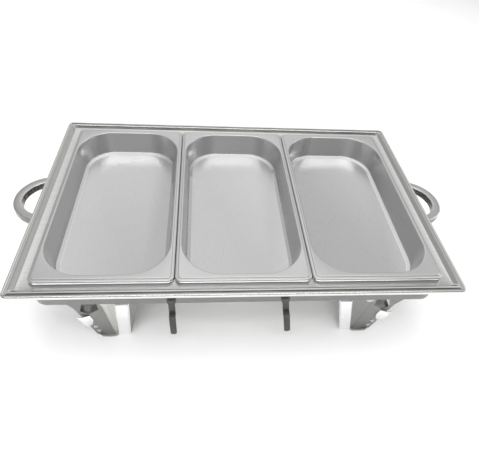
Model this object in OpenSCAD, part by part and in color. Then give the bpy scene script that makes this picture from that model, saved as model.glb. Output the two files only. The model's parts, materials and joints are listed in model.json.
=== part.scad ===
// Folding chafing dish: three food pans in a water pan on a sheet steel stand.
// The origin is on the table, under the middle of the stand. +Y points away from the guest.

/* [Food pans] */
// Width of one food pan over its flange
pan_w = 175.4; // [174:0.1:175.6]
// Length of one food pan over its flange
pan_l = 325; // [320:1:328]
// Depth of one food pan
pan_depth = 40; // [30:1:55]
// Distance between the middles of two food pans
pan_pitch = 176; // [176:0.5:177]
// Width of the food pan's opening
well_w = 160; // [150:1:161]
// Length of the food pan's opening
well_l = 304; // [290:1:305]
// Corner radius of the food pan's opening
well_r = 52; // [30:1:60]

/* [Water pan] */
// Length of the water pan over its rim
rim_w = 575; // [572:1:585]
// Width of the water pan over its rim
rim_l = 368; // [366:1:376]
// Height of the food pans' flanges above the table
top_z = 140; // [140:1:145]
// Height of the basin's underside above the table
basin_z = 64; // [64:1:80]

/* [Stand] */
// Length of the rail ring
ring_w = 543; // [541:1:543]
// Width of the rail ring
ring_l = 323.4; // [323.4:0.2:326]
// Outer corner radius of the rail ring
ring_r = 20; // [14:1:24]
// Height of the rails' lower edge
rail_z = 88; // [87:1:90]
// Thickness of the stand's sheet steel
sheet = 1.2; // [1:0.1:1.2]

/* [Legs] */
// Distance of each leg's pivot from the middle
pivot_x = 183; // [182:1:190]
// Height of each leg's pivot
pivot_z = 82; // [81:1:82]
// Set-back of the left legs' rib from the inner edge at the top
rib_lead = 14; // [0:1:16]
// Radius of the pivot pins
pin_r = 3; // [2.5:0.1:3.5]
// Radial running clearance of the turning joints
play = 0.06; // [0.04:0.01:0.09]

/* [Handles] */
// Outer radius of each handle's loop
loop_r = 48; // [44:1:50]
// Width of the handle's strip seen from above
loop_t = 13; // [10:1:15]
// Height of the handle's strip
loop_h = 12; // [10:1:13]

/* [Hooks] */
// Place of the left hook along the front rail
hook_left_x = -94; // [-100:1:-85]
// Place of the right hook along the front rail
hook_right_x = 58; // [50:1:66]
// Angle at which the right hook hangs
hook_lean = 10; // [0:1:15]

/* [Fuel holders] */
// Distance of each fuel cup from the middle
cup_x = 60; // [58:1:60]
// Outer radius of each fuel cup
cup_r = 40; // [38:0.5:40]
// Height of each fuel cup
cup_h = 40; // [36:1:40]

/* [Hidden] */
$fn = 48;
blend_fn = 32;
eps = 0.01;

pan_t = 1;
pan_lip = 5.7;
pan_corner = 9;
land_z = top_z - 6;
land_w = rim_w - 26;
land_l = rim_l - 26;
band_z = top_z - 1;
band_w = rim_w - 16;
band_l = rim_l - 16;
skirt_h = 6;
basin_w = 523;
basin_l = 307;
basin_r = 50;
basin_knee = 12;
basin_draft = 18;

rail_top = land_z - pan_t - 0.3;
rail_h = rail_top - rail_z;
rail_out = ring_l / 2;
rail_in = rail_out - sheet;
lip_in = 6;
lap_y = 125;
end_y = 139;
end_z = [rail_z + 2, rail_top - 2.6];
lap_x = ring_w / 2 - sheet;

leg_in = 155.5;
leg_out = leg_in + sheet;
rib_out = leg_out + 2.5;
foot_out = leg_out + 3.1;
leg_head = 8;
inner_top = 47;
inner_foot = 25;
outer_top = -47;
outer_foot = -23;
rib_w = 19;
rib_head = 0;
vent = [[-10, 5], [-27, 5], [-35, -19], [-25, -27], [-10, -16]];
panel_z = [6, 56];
tab_w = 14;
bracket_in = 154;
arm_x = [-30, -15];
arm_z = 34;
gap = 0.3;

hook_w = 9;
hook_t = 1.5;
hook_z = 96;
hook_ledge = 64;
hook_end = 18;
hook_step = 5.5;
hook_pin_r = 2;

cover_r = 26;
cover_arm = 44;
cover_z = cup_h + 0.6;
cover_pin_r = 2;
lug_t = 1.7;
lug_z = cup_h - 2;

steel = "lightsteelblue";
satin = "gainsboro";
dark = "slategray";

// ---- shapes that several pieces use ----

// Rectangle with round corners
module tile(w, l, r) {
    square([w - 2 * r, l], center = true);
    square([w, l - 2 * r], center = true);
    for (x = [-1, 1], y = [-1, 1])
        translate([x * (w / 2 - r), y * (l / 2 - r)]) circle(r);
}

// Flat slab with round corners, from height z upwards
module slab(w, l, r, z, h) {
    translate([0, 0, z]) linear_extrude(height = h) tile(w, l, r);
}

// Upright band: a slab's outer wall of thickness t
module band(w, l, r, t, z, h) {
    difference() {
        slab(w, l, r, z, h);
        slab(w - 2 * t, l - 2 * t, r - t, z - 1, h + 2);
    }
}

// Blended tub between a mouth and a smaller floor; grow makes the outer skin
module tub(w, l, r, draft, knee, top, floor, grow) {
    hull() {
        slab(w + 2 * grow, l + 2 * grow, r + grow, top - eps, eps, $fn = blend_fn);
        slab(w - draft + 2 * grow, l - draft + 2 * grow, r - draft / 3 + grow, floor + knee, eps,
            $fn = blend_fn);
        slab(w - draft - knee + 2 * grow, l - draft - knee + 2 * grow, r - draft / 2 + grow,
            floor + knee * 0.3 - grow, eps, $fn = blend_fn);
        slab(w - draft - 2 * knee + 2 * grow, l - draft - 2 * knee + 2 * grow,
            r - draft / 2 - knee / 2 + grow, floor - grow, eps, $fn = blend_fn);
    }
}

// Rod along Y from y0 to y1
module rod_y(x, z, r, y0, y1) {
    translate([x, y1, z]) rotate([90, 0, 0]) cylinder(r = r, h = y1 - y0);
}

// Rod along X from x0 to x1
module rod_x(y, z, r, x0, x1) {
    translate([x0, y, z]) rotate([0, 90, 0]) cylinder(r = r, h = x1 - x0);
}

// Upright plate drawn in X and Z, from y0 to y1
module wall_y(y0, y1) {
    translate([0, y1, 0]) rotate([90, 0, 0]) linear_extrude(height = y1 - y0) children();
}

// Rivet along Y: a shank and two heads, through sheets from y0 to y1
module rivet_y(x, z, r, head_r, y0, y1) {
    rod_y(x, z, r, y0 - 0.5, y1 + 0.5);
    rod_y(x, z, head_r, y0 - 1, y0);
    rod_y(x, z, head_r, y1, y1 + 1);
}

// Rivet along X: a shank and two heads, through sheets from x0 to x1
module rivet_x(y, z, r, head_r, x0, x1) {
    rod_x(y, z, r, x0 - 0.5, x1 + 0.5);
    rod_x(y, z, head_r, x0 - 1, x0);
    rod_x(y, z, head_r, x1, x1 + 1);
}

// ---- food pans and water pan ----

module food_pan(x) {
    color(satin) translate([x, 0, 0]) difference() {
        union() {
            slab(pan_w, pan_l, pan_corner, top_z - pan_t, pan_t);
            band(pan_w, pan_l, pan_corner, pan_t, top_z - pan_lip, pan_lip - eps);
            tub(well_w, well_l, well_r, 10, 7, top_z - pan_t / 2, top_z - pan_depth, pan_t);
        }
        tub(well_w, well_l, well_r, 10, 7, top_z + 2 * eps, top_z - pan_depth, 0);
    }
}

module water_pan() {
    color(steel) difference() {
        union() {
            difference() {
                slab(rim_w, rim_l, 8, band_z - skirt_h, skirt_h);
                slab(rim_w - 2, rim_l - 2, 7, band_z - skirt_h - 1, skirt_h);
            }
            hull() {
                slab(land_w + 2, land_l + 2, 8, land_z - pan_t, eps, $fn = blend_fn);
                slab(band_w + 2, band_l + 2, 10, band_z - eps, eps, $fn = blend_fn);
            }
            tub(basin_w, basin_l, basin_r, basin_draft, basin_knee, land_z - pan_t / 2,
                basin_z + pan_t, pan_t);
        }
        hull() {
            slab(land_w, land_l, 7, land_z, eps, $fn = blend_fn);
            slab(band_w, band_l, 9, band_z + eps, eps, $fn = blend_fn);
        }
        tub(basin_w, basin_l, basin_r, basin_draft, basin_knee, land_z + 2 * eps,
            basin_z + pan_t, 0);
    }
}

// ---- rail ring ----

corner_rivet_z = [rail_z + 11, rail_z + 33];
corner_rivet_y = 132;
rivet_r = 1.95;
rivet_hole_r = 2;
small_r = 1.45;
small_hole_r = 1.5;
bracket_rivet_x = [arm_x[0] + 4, arm_x[1] - 4];
bracket_rivet_z = arm_z + 6;

rail_lug = [[-50, 12], [-26, 12], [-28, 4], [-35, -8], [-44, 4]];

// Long rail at the front (side = -1) or at the back (side = 1)
module long_rail(side, hooks) {
    color(dark) difference() {
        intersection() {
            union() {
                band(ring_w, ring_l, ring_r, sheet, rail_z, rail_h);
                band(ring_w, ring_l, ring_r, lip_in, rail_top - sheet, sheet);
                for (end = [-1, 1]) at_pivot(end, side)
                    wall_y(-rail_out, -rail_in) polygon(rail_lug);
            }
            translate([-ring_w, side > 0 ? lap_y : -lap_y - ring_l, 0])
                cube([2 * ring_w, ring_l, rail_top + 1]);
        }
        for (end = [-1, 1]) {
            for (z = corner_rivet_z)
                rod_x(side * corner_rivet_y, z, rivet_hole_r, end * ring_w / 2 - 8,
                    end * ring_w / 2 + 8);
            for (x = bracket_rivet_x)
                rod_y(end * (pivot_x - x), pivot_z + bracket_rivet_z, small_hole_r,
                    side * rail_out - 8, side * rail_out + 8);
        }
        for (x = hooks)
            rod_y(x, hook_z, hook_pin_r + 0.02, side * rail_out - 8, side * rail_out + 8);
    }
}

// Short rail that laps inside the long rails' returns
module end_rail(end) {
    x0 = end > 0 ? lap_x - sheet : -lap_x;
    color(dark) difference() {
        translate([x0, -end_y, end_z[0]]) cube([sheet, 2 * end_y, end_z[1] - end_z[0]]);
        for (y = [-corner_rivet_y, corner_rivet_y], z = corner_rivet_z)
            rod_x(y, z, rivet_hole_r, x0 - 5, x0 + 5);
        for (y = handle_rivet_y)
            rod_x(y, handle_z, rivet_hole_r, x0 - 5, x0 + 5);
    }
}

module corner_rivets() {
    color(satin) for (end = [-1, 1], y = [-corner_rivet_y, corner_rivet_y], z = corner_rivet_z)
        rivet_x(y, z, rivet_r, 4, end > 0 ? lap_x - sheet : -lap_x - sheet,
            end > 0 ? lap_x + sheet : -lap_x + sheet);
}

// ---- handles ----

handle_x = rim_w / 2 - 6.5;
handle_top = top_z - 13;
handle_z = handle_top - loop_h / 2;
foot_y = loop_r - loop_t / 2;
foot_half = 14;
foot_t = 1.5;
handle_rivet_y = [-foot_y - 10, -foot_y + 11, foot_y - 11, foot_y + 10];

// D-shaped outline of radius r, cut off straight at x0
module loop_outline(r, x0) {
    difference() {
        union() {
            translate([handle_x, 0]) circle(r, $fn = 96);
            translate([x0, -r]) square([handle_x - x0, 2 * r]);
        }
        translate([x0 - 2 * loop_r, -loop_r - 1]) square([2 * loop_r, 2 * loop_r + 2]);
    }
}

// D-shaped loop whose two feet stand on the end rail
module handle(end) {
    color(steel) scale([end, 1, 1]) difference() {
        union() {
            translate([0, 0, handle_z - loop_h / 2]) linear_extrude(height = loop_h)
                difference() {
                    loop_outline(loop_r, lap_x + 0.5);
                    loop_outline(loop_r - loop_t, lap_x - 1);
                }
            for (y = [-foot_y, foot_y])
                translate([lap_x, y - foot_half, handle_z - 9]) cube([foot_t, 2 * foot_half, 18]);
        }
        for (y = handle_rivet_y)
            rod_x(y, handle_z, rivet_hole_r, lap_x - 2, lap_x + foot_t + 2);
    }
}

module handle_rivets() {
    color(satin) for (end = [-1, 1], y = handle_rivet_y)
        rivet_x(y, handle_z, rivet_r, 3.4, end > 0 ? lap_x - sheet : -lap_x - foot_t,
            end > 0 ? lap_x + foot_t : -lap_x + sheet);
}

// ---- pivot brackets and pins ----
// Leg parts are drawn at the front left corner about the pivot, with +x towards the middle,
// and put in place by at_pivot.

module at_pivot(end, side) {
    translate([end * pivot_x, 0, pivot_z]) scale([-end, -side, 1]) children();
}

// Bracket that carries the pin behind the leg and steps over its path to the rail
module pivot_bracket(end, side) {
    color(dark) at_pivot(end, side) difference() {
        union() {
            wall_y(-bracket_in - sheet, -bracket_in) {
                circle(8);
                polygon([[-7.5, -3], [7.5, 3], [arm_x[1], arm_z], [arm_x[0], arm_z],
                    [arm_x[0], 20]]);
            }
            translate([arm_x[0], -rail_in, arm_z - sheet])
                cube([arm_x[1] - arm_x[0], rail_in - bracket_in, sheet]);
            translate([arm_x[0], -rail_in, arm_z - sheet])
                cube([arm_x[1] - arm_x[0], sheet, 12]);
        }
        rod_y(0, 0, pin_r + 0.02, -bracket_in - 5, -bracket_in + 5);
        for (x = bracket_rivet_x)
            rod_y(x, bracket_rivet_z, small_hole_r, -rail_in - 3, -rail_in + 3);
    }
}

module bracket_rivets() {
    color(satin) for (end = [-1, 1], side = [-1, 1], x = bracket_rivet_x)
        at_pivot(end, side)
            rivet_y(x, bracket_rivet_z, small_r, 3, -rail_out, -rail_in + sheet);
}

module pivot_pins() {
    color(satin) for (end = [-1, 1], side = [-1, 1]) at_pivot(end, side) {
        rod_y(0, 0, pin_r, -leg_out - gap - 1, -bracket_in + 1);
        rod_y(0, 0, 6, -leg_out - gap - 1.6, -leg_out - gap);
        rod_y(0, 0, 5.5, -bracket_in, -bracket_in + 1.6);
    }
}

// ---- legs ----

// Place of the leg's inner or outer edge at height z below the pivot
function inner_edge(z) = inner_top + (z - leg_head) * (inner_foot - inner_top)
    / (-pivot_z - leg_head);
function outer_edge(z) = outer_top + (z - leg_head) * (outer_foot - outer_top)
    / (-pivot_z - leg_head);

// Inner edge of the rib strip, which starts lead millimetres outside the leg's edge at the top
function rib_edge(z, lead) = inner_edge(z) - lead * (z + pivot_z) / (leg_head + pivot_z);

// Outline of the rib strip, smaller by m all round
module rib_outline(lead, m) {
    polygon([
        [rib_edge(rib_head, lead) - rib_w + m, rib_head - m],
        [rib_edge(rib_head, lead) - m, rib_head - m],
        [rib_edge(-pivot_z, lead) - m, -pivot_z + m],
        [rib_edge(-pivot_z, lead) - rib_w + m, -pivot_z + m]
    ]);
}

panel_low = panel_z[0] - pivot_z;
panel_high = panel_z[1] - pivot_z;
leg_rivets = [for (rise = [5, 16]) [outer_edge(panel_low + rise) + 7, panel_low + rise]];

module leg_plate(lead) {
    difference() {
        union() {
            wall_y(-leg_out, -leg_in)
                polygon([[outer_top, leg_head], [inner_top, leg_head],
                    [inner_foot, -pivot_z], [outer_foot, -pivot_z]]);
            wall_y(-rib_out, -leg_out + eps) rib_outline(lead, 0);
            translate([outer_foot, -foot_out, -pivot_z])
                cube([2 - outer_foot, foot_out - leg_in, sheet]);
        }
        wall_y(-rib_out + sheet, -leg_in + 1) rib_outline(lead, sheet);
        wall_y(-leg_out - 1, -leg_in + 1) polygon(vent);
        rod_y(0, 0, pin_r + play, -leg_out - 1, -leg_in + 1);
        for (p = leg_rivets)
            rod_y(p[0], p[1], small_hole_r, -leg_out - 1, -leg_in + 1);
    }
}

// Panel across both legs of one end, with a riveted tab at each leg
module cross_panel() {
    difference() {
        union() {
            wall_y(-leg_in + sheet, leg_in - sheet)
                polygon([
                    [outer_edge(panel_low), panel_low], [outer_edge(panel_high), panel_high],
                    [outer_edge(panel_high) + sheet, panel_high],
                    [outer_edge(panel_low) + sheet, panel_low]
                ]);
            for (side = [-1, 1]) scale([1, side, 1])
                wall_y(leg_in - sheet, leg_in)
                    polygon([
                        [outer_edge(panel_low), panel_low], [outer_edge(panel_high), panel_high],
                        [outer_edge(panel_high) + tab_w, panel_high],
                        [outer_edge(panel_low) + tab_w, panel_low]
                    ]);
        }
        for (p = leg_rivets) rod_y(p[0], p[1], small_hole_r, -leg_in - 1, leg_in + 1);
    }
}

module leg_rivet_set() {
    for (side = [-1, 1], p = leg_rivets) scale([1, side, 1])
        rivet_y(p[0], p[1], small_r, 3, -leg_out, -leg_in + sheet);
}

// Bent tab spot welded to the outer edge of a leg
module leg_tab() {
    wall_y(-leg_out - sheet, -leg_out)
        polygon([[-39, -29], [-24, -29], [-21, -40], [-24, -52], [-32.5, -54]]);
    wall_y(-leg_out - 4.2, -leg_out)
        polygon([[-39, -29], [-37.8, -29], [-31.3, -53.7], [-32.5, -54]]);
}

module leg(end, side) {
    color(steel) at_pivot(end, side) leg_plate(end < 0 ? rib_lead : 0);
}

module panel(end) {
    color(steel) at_pivot(end, -1) cross_panel();
}

module leg_rivet_group(end) {
    color(satin) at_pivot(end, -1) leg_rivet_set();
}

module leg_tabs(end) {
    color(satin) for (side = [-1, 1]) at_pivot(end, side) leg_tab();
}

// ---- hooks on the front rail ----

hook_y = -rail_out - gap - hook_t;

module hook(x, lean) {
    color(dark) translate([x, 0, hook_z]) rotate([0, -lean, 0]) difference() {
        union() {
            wall_y(hook_y, hook_y + hook_t) {
                circle(6);
                translate([-hook_w / 2, hook_ledge - hook_z])
                    square([hook_w, hook_z - hook_ledge]);
            }
            translate([-hook_w / 2, hook_y - hook_step, hook_ledge - hook_z])
                cube([hook_w, hook_step + hook_t, hook_t]);
            wall_y(hook_y - hook_step, hook_y - hook_step + hook_t) {
                translate([-hook_w / 2, hook_end + hook_w / 2 - hook_z])
                    square([hook_w, hook_ledge - hook_end - hook_w / 2 + hook_t]);
                translate([0, hook_end + hook_w / 2 - hook_z]) circle(hook_w / 2);
            }
        }
        rod_y(0, 0, hook_pin_r + play, hook_y - 1, hook_y + hook_t + 1);
    }
}

module hook_pins() {
    color(satin) for (x = [hook_left_x, hook_right_x]) {
        rod_y(x, hook_z, hook_pin_r, hook_y - gap - 0.5, -rail_in + 0.5);
        rod_y(x, hook_z, 4.2, hook_y - gap - 1.2, hook_y - gap);
        rod_y(x, hook_z, 3.5, -rail_in, -rail_in + 1);
    }
}

// ---- fuel holders ----

module fuel_cup(end) {
    color(steel) translate([end * cup_x, 0, 0]) scale([-end, 1, 1]) difference() {
        union() {
            cylinder(r = cup_r, h = cup_h, $fn = 96);
            translate([0, 0, cup_h - 3]) cylinder(r = cup_r + 1.4, h = 3, $fn = 96);
            translate([cup_r - 0.5, -5, lug_z]) cube([cover_arm - cup_r + 0.5, 10, lug_t]);
            translate([cover_arm, 0, lug_z]) cylinder(r = 5, h = lug_t);
        }
        translate([0, 0, 1]) cylinder(r = cup_r - 1, h = cup_h, $fn = 96);
        translate([cover_arm, 0, lug_z - 2]) cylinder(r = cover_pin_r + 0.02, h = 6);
    }
}

module fuel_cover(end) {
    color(satin) translate([end * cup_x, 0, cover_z]) scale([-end, 1, 1]) difference() {
        union() {
            cylinder(r = cover_r, h = sheet, $fn = 96);
            translate([0, -6, 0]) cube([cover_arm, 12, sheet]);
            translate([cover_arm, 0, 0]) cylinder(r = 6, h = sheet);
            translate([-cover_r - 10, -5, 0]) cube([14, 10, sheet]);
        }
        translate([cover_arm, 0, -1]) cylinder(r = cover_pin_r + play, h = 5);
    }
}

module cover_pin(end) {
    color(dark) translate([end * (cup_x - cover_arm), 0, 0]) {
        translate([0, 0, lug_z - 0.5]) cylinder(r = cover_pin_r, h = 5);
        translate([0, 0, lug_z - 1.2]) cylinder(r = 3.2, h = 1.2);
        translate([0, 0, cover_z + sheet + gap]) cylinder(r = 3.5, h = 1.2);
    }
}

// ---- nodes ----

long_rail(-1, [hook_left_x, hook_right_x]);  // front_rail
long_rail(1, []);  // back_rail
end_rail(-1);  // left_end_rail
end_rail(1);  // right_end_rail
corner_rivets();
pivot_bracket(-1, -1);  // front_left_bracket
pivot_bracket(1, -1);  // front_right_bracket
pivot_bracket(-1, 1);  // back_left_bracket
pivot_bracket(1, 1);  // back_right_bracket
bracket_rivets();
pivot_pins();
handle(-1);  // left_handle
handle(1);  // right_handle
handle_rivets();
hook_pins();
hook(hook_left_x, 0);  // left_hook
hook(hook_right_x, hook_lean);  // right_hook
leg(-1, -1);  // left_front_leg
leg(-1, 1);  // left_back_leg
panel(-1);  // left_cross_panel
leg_rivet_group(-1);  // left_leg_rivets
leg_tabs(-1);  // left_leg_tabs
leg(1, -1);  // right_front_leg
leg(1, 1);  // right_back_leg
panel(1);  // right_cross_panel
leg_rivet_group(1);  // right_leg_rivets
leg_tabs(1);  // right_leg_tabs
water_pan();
food_pan(-pan_pitch);  // left_food_pan
food_pan(0);  // middle_food_pan
food_pan(pan_pitch);  // right_food_pan
fuel_cup(-1);  // left_fuel_cup
fuel_cover(-1);  // left_fuel_cover
cover_pin(-1);  // left_cover_pin
fuel_cup(1);  // right_fuel_cup
fuel_cover(1);  // right_fuel_cover
cover_pin(1);  // right_cover_pin
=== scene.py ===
import bpy
import json
import math
from mathutils import Matrix, Vector


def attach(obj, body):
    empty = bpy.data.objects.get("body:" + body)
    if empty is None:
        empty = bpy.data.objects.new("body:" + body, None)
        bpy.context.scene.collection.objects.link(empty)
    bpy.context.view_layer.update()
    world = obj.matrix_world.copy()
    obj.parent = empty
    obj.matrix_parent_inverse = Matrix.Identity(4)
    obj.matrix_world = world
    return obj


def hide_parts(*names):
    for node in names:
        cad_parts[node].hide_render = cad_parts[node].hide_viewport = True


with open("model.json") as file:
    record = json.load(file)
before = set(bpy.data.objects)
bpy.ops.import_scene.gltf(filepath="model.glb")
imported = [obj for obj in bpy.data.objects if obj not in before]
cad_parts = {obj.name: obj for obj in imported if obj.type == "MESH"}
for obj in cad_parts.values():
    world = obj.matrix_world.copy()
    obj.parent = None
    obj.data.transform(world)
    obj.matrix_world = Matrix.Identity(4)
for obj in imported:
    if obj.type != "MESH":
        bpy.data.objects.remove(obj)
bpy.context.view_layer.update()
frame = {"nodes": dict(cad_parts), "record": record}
mm = 0.001
bodyOf = {node: body for body, nodes in frame["record"]["behaviour"]["bodies"].items() for node in nodes}


# small helpers
def deselectAll():
    if bpy.context.object and bpy.context.object.mode != "OBJECT":
        bpy.ops.object.mode_set(mode="OBJECT")
    bpy.ops.object.select_all(action="DESELECT")


def selectOnly(pieces):
    deselectAll()
    for piece in pieces:
        piece.select_set(True)
    bpy.context.view_layer.objects.active = pieces[0]


def joinPieces(pieces, name):
    selectOnly(pieces)
    bpy.ops.object.transform_apply(location=True, rotation=True, scale=True)
    bpy.ops.object.join()
    piece = bpy.context.object
    piece.name = name
    piece.data.name = name
    return piece


def selectVertices(piece, test):
    bpy.ops.object.mode_set(mode="OBJECT")
    mesh = piece.data
    for polygon in mesh.polygons:
        polygon.select = False
    for edge in mesh.edges:
        edge.select = False
    for vertex in mesh.vertices:
        vertex.select = bool(test(vertex))
    bpy.ops.object.mode_set(mode="EDIT")
    bpy.ops.mesh.select_mode(type="VERT")


def selectFaces(piece, test):
    bpy.ops.object.mode_set(mode="OBJECT")
    mesh = piece.data
    for vertex in mesh.vertices:
        vertex.select = False
    for edge in mesh.edges:
        edge.select = False
    for polygon in mesh.polygons:
        polygon.select = bool(test(polygon))
    bpy.ops.object.mode_set(mode="EDIT")
    bpy.ops.mesh.select_mode(type="FACE")


def applyModifier(piece, kind, **values):
    selectOnly([piece])
    modifier = piece.modifiers.new(kind.title(), kind)
    for key, value in values.items():
        setattr(modifier, key, value)
    bpy.ops.object.modifier_apply(modifier=modifier.name)


def smoothByAngle(piece, degrees):
    selectOnly([piece])
    bpy.ops.object.shade_smooth_by_angle(angle=math.radians(degrees))


def mirroredCopy(piece, name, flips):
    selectOnly([piece])
    bpy.ops.object.duplicate()
    copy = bpy.context.object
    copy.name = name
    copy.data.name = name
    copy.scale = flips
    bpy.ops.object.transform_apply(location=True, rotation=True, scale=True)
    if flips[0] * flips[1] * flips[2] < 0:
        bpy.ops.object.mode_set(mode="EDIT")
        bpy.ops.mesh.select_all(action="SELECT")
        bpy.ops.mesh.normals_make_consistent(inside=False)
        bpy.ops.object.mode_set(mode="OBJECT")
    return copy


def standFor(piece, node, materials=None):
    if materials:
        piece.data.materials.clear()
        for material in materials:
            piece.data.materials.append(material)
    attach(piece, bodyOf[node])
    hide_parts(node)


def placedCopy(source, name, matrix):
    # a copy with its own mesh, moved or mirrored in the mesh itself
    copy = bpy.data.objects.new(name, source.data.copy())
    copy.data.name = name
    bpy.context.collection.objects.link(copy)
    copy.data.transform(matrix)
    if matrix.determinant() < 0:
        copy.data.flip_normals()
    return copy


def discard(piece):
    bpy.data.objects.remove(piece, do_unlink=True)


def cutAlong(start, end, trim=False):
    # cuts the piece in edit mode along a line seen from the front; trim drops what is left of it
    run = Vector((end[0] - start[0], 0, end[1] - start[1])).normalized()
    bpy.ops.mesh.select_all(action="SELECT")
    bpy.ops.mesh.bisect(plane_co=(start[0] * mm, 0, start[1] * mm), plane_no=(-run.z, 0, run.x),
                        clear_outer=trim)


def flatPlate(name, outline, y):
    # sheet that faces the front, trimmed along a convex outline given clockwise
    deselectAll()
    bpy.ops.mesh.primitive_plane_add(size=0.4, rotation=(math.pi / 2, 0, 0))
    piece = bpy.context.object
    piece.name = name
    bpy.ops.object.transform_apply(location=True, rotation=True, scale=True)
    bpy.ops.object.mode_set(mode="EDIT")
    for start, end in zip(outline, outline[1:] + outline[:1]):
        cutAlong(start, end, True)
    bpy.ops.mesh.select_all(action="SELECT")
    bpy.ops.transform.translate(value=(0, y * mm, 0))
    bpy.ops.object.mode_set(mode="OBJECT")
    return piece


def cutOut(piece, cutter):
    applyModifier(piece, "BOOLEAN", object=cutter, operation="DIFFERENCE", solver="EXACT")
    discard(cutter)


def drill(piece, x, y, z, radius, depth):
    deselectAll()
    bpy.ops.mesh.primitive_cylinder_add(vertices=32, radius=radius * mm, depth=depth * mm,
                                        location=(x * mm, y * mm, z * mm), rotation=(math.pi / 2, 0, 0))
    cutOut(piece, bpy.context.object)


def foldedSheet(piece, sheet, edge):
    # gives the sheet its thickness on the inside and rounds its edges
    applyModifier(piece, "SOLIDIFY", thickness=sheet * mm, offset=-1, use_even_offset=True)
    applyModifier(piece, "BEVEL", width=edge * mm, segments=2, limit_method="ANGLE",
                  angle_limit=math.radians(40))


def turned(name, profile, segments):
    # round piece grown ring by ring from a filled circle; the profile lists radius and height
    radius, height = profile[0]
    deselectAll()
    bpy.ops.mesh.primitive_circle_add(vertices=segments, radius=radius * mm, fill_type="NGON",
                                      location=(0, 0, height * mm))
    piece = bpy.context.object
    piece.name = name
    bpy.ops.object.transform_apply(location=True, rotation=True, scale=True)
    bpy.ops.object.mode_set(mode="EDIT")
    bpy.ops.mesh.select_all(action="SELECT")
    for nextRadius, nextHeight in profile[1:]:
        bpy.ops.mesh.extrude_edges_move(TRANSFORM_OT_translate={"value": (0, 0, (nextHeight - height) * mm)})
        spread = nextRadius / radius
        bpy.ops.transform.resize(value=(spread, spread, 1), center_override=(0, 0, nextHeight * mm))
        radius, height = nextRadius, nextHeight
    bpy.ops.mesh.edge_face_add()
    bpy.ops.mesh.select_all(action="SELECT")
    bpy.ops.mesh.normals_make_consistent(inside=False)
    bpy.ops.object.mode_set(mode="OBJECT")
    smoothByAngle(piece, 35)
    return piece


# pressed pans, made from rounded loops that are bridged
def cornerLoop(width, length, radius, height, segments):
    deselectAll()
    bpy.ops.mesh.primitive_plane_add(size=1, location=(0, 0, height * mm))
    loop = bpy.context.object
    bpy.ops.object.mode_set(mode="EDIT")
    bpy.ops.transform.resize(value=(width * mm, length * mm, 1))
    bpy.ops.mesh.bevel(offset=radius * mm, segments=segments, affect="VERTICES", clamp_overlap=False)
    bpy.ops.mesh.select_all(action="SELECT")
    bpy.ops.mesh.delete(type="ONLY_FACE")
    bpy.ops.object.mode_set(mode="OBJECT")
    return loop


def pressedShell(name, rings, segments, thickness):
    loops = []
    for index, ring in enumerate(rings):
        loop = cornerLoop(*ring, segments)
        mark = loop.data.attributes.new("ring", "INT", "POINT")
        for item in mark.data:
            item.value = index
        loops.append(loop)
    shell = joinPieces(loops, name)
    for index in range(len(rings) - 1):
        pair = (index, index + 1)
        bpy.ops.object.mode_set(mode="OBJECT")
        marks = shell.data.attributes["ring"].data
        selectVertices(shell, lambda vertex: marks[vertex.index].value in pair)
        bpy.ops.mesh.bridge_edge_loops()
    bpy.ops.object.mode_set(mode="OBJECT")
    marks = shell.data.attributes["ring"].data
    selectVertices(shell, lambda vertex: marks[vertex.index].value == len(rings) - 1)
    bpy.ops.mesh.edge_face_add()
    bpy.ops.mesh.select_all(action="SELECT")
    bpy.ops.mesh.normals_make_consistent(inside=False)
    bpy.ops.object.mode_set(mode="OBJECT")
    floorFace = min(shell.data.polygons, key=lambda polygon: polygon.center.z)
    if floorFace.normal.z < 0:
        bpy.ops.object.mode_set(mode="EDIT")
        bpy.ops.mesh.select_all(action="SELECT")
        bpy.ops.mesh.flip_normals()
        bpy.ops.object.mode_set(mode="OBJECT")
    shell.data.attributes.remove(shell.data.attributes["ring"])
    applyModifier(shell, "SOLIDIFY", thickness=thickness * mm, offset=-1, use_even_offset=True)
    smoothByAngle(shell, 35)
    return shell


def bendRings(width, length, radius, height, bend, start, end, steps):
    # a rounded bend about a point `bend` inside the wall, from angle start to end
    rings = []
    for step in range(steps + 1):
        angle = math.radians(start + (end - start) * step / steps)
        inset = bend * (1 - math.cos(angle))
        rings.append((width - 2 * inset, length - 2 * inset, max(radius - inset, 1),
                      height + bend * math.sin(angle)))
    return rings


def sinkRings(width, length, radius, height, bend, steps):
    # the edge of an opening: turns from a flat flange down into a wall
    rings = []
    for step in range(steps + 1):
        angle = math.radians(90 - 90 * step / steps)
        out = bend * (1 - math.cos(angle))
        rings.append((width + 2 * out, length + 2 * out, radius + out,
                      height - bend + bend * math.sin(angle)))
    return rings


def floorRings(width, length, radius, height, bend, steps):
    # the fillet between a wall and the floor
    rings = []
    for step in range(1, steps + 1):
        angle = math.radians(90 * step / steps)
        inset = bend * (1 - math.cos(angle))
        drop = bend * (1 - math.sin(angle))
        rings.append((width - 2 * inset, length - 2 * inset, max(radius - inset, 4), height + drop))
    return rings


def insetRing(outline, inset, height):
    width, length, radius = outline
    return (width - 2 * inset, length - 2 * inset, max(radius - inset, 3), height)


foodPan = {
    "flange": (175.4, 325, 9), "topZ": 140, "lipZ": 134.5, "lipBend": 1.8, "lipStep": 1.3,
    "ridgeIn": 4.2, "opening": (160, 304, 52), "mouthBend": 2.2, "depth": 40, "draft": 9,
    "ledgeRise": 2.6, "ledgeWidth": 5.6, "ledgeBend": 1.2, "sheet": 0.8, "corner": 18, "pitch": 176,
}


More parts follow.
